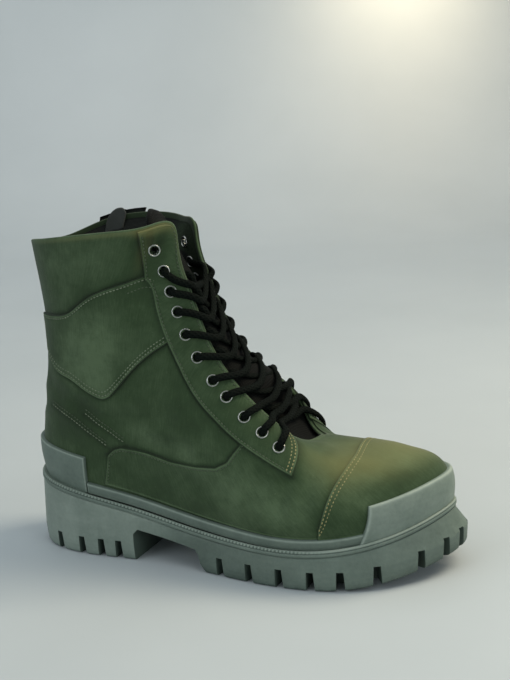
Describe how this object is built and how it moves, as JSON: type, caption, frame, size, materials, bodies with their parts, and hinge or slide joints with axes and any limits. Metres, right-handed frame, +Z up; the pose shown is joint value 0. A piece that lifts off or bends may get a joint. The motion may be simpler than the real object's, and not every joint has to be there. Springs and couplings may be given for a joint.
{
  "type": "denim boot",
  "caption": "Ankle-high lace-up denim boot with hollow upper, rubber toe bumper and heel counter, side zip and thick lugged rubber sole.",
  "frame": {"origin": "bottom centre of the boot's box, on the floor", "axes": "+X to the toe, +Y to the inner (medial) side, +Z up"},
  "size_m": [0.305, 0.1146, 0.234],
  "materials": {
    "denim": "washed olive twill",
    "rubber": "matt grey-green",
    "lining": "black cloth",
    "lace": "braided cord",
    "eyelet_metal": "nickel",
    "zip_metal": "black"
  },
  "bodies": {
    "boot": {"upper": "denim", "outsole": "rubber", "insole": "lining", "tongue": "lining", "zip_tape": "lining", "zip_guard": "lining", "zip_chain": "zip_metal", "zip_slider": "zip_metal", "toe_cap": "denim", "vamp": "denim", "ankle_panel": "denim", "backstay": "denim", "eyestay_lateral": "denim", "eyestay_medial": "denim", "rand_lateral": "rubber", "rand_medial": "rubber", "toe_bumper": "rubber", "heel_counter": "rubber", "eyelet_lateral_01": "eyelet_metal", "eyelet_lateral_02": "eyelet_metal", "eyelet_lateral_03": "eyelet_metal", "eyelet_lateral_04": "eyelet_metal", "eyelet_lateral_05": "eyelet_metal", "eyelet_lateral_06": "eyelet_metal", "eyelet_lateral_07": "eyelet_metal", "eyelet_lateral_08": "eyelet_metal", "eyelet_lateral_09": "eyelet_metal", "eyelet_lateral_10": "eyelet_metal", "eyelet_lateral_11": "eyelet_metal", "eyelet_medial_01": "eyelet_metal", "eyelet_medial_02": "eyelet_metal", "eyelet_medial_03": "eyelet_metal", "eyelet_medial_04": "eyelet_metal", "eyelet_medial_05": "eyelet_metal", "eyelet_medial_06": "eyelet_metal", "eyelet_medial_07": "eyelet_metal", "eyelet_medial_08": "eyelet_metal", "eyelet_medial_09": "eyelet_metal", "eyelet_medial_10": "eyelet_metal", "eyelet_medial_11": "eyelet_metal", "lace_02": "lace", "lace_03": "lace", "lace_04": "lace", "lace_05": "lace", "lace_06": "lace", "lace_07": "lace", "lace_08": "lace", "lace_09": "lace", "lace_10": "lace", "lace_11": "lace"},
    "pull": {"zip_pull": "zip_metal"}
  },
  "joints": [
    {"name": "zip_pull_hinge", "type": "hinge", "parent": "boot", "child": "pull", "pos_m": [-0.10111, 0.05593, 0.219], "axis": [0.9592, 0.1525, -0.2379], "range_deg": [0, 150]}
  ]
}
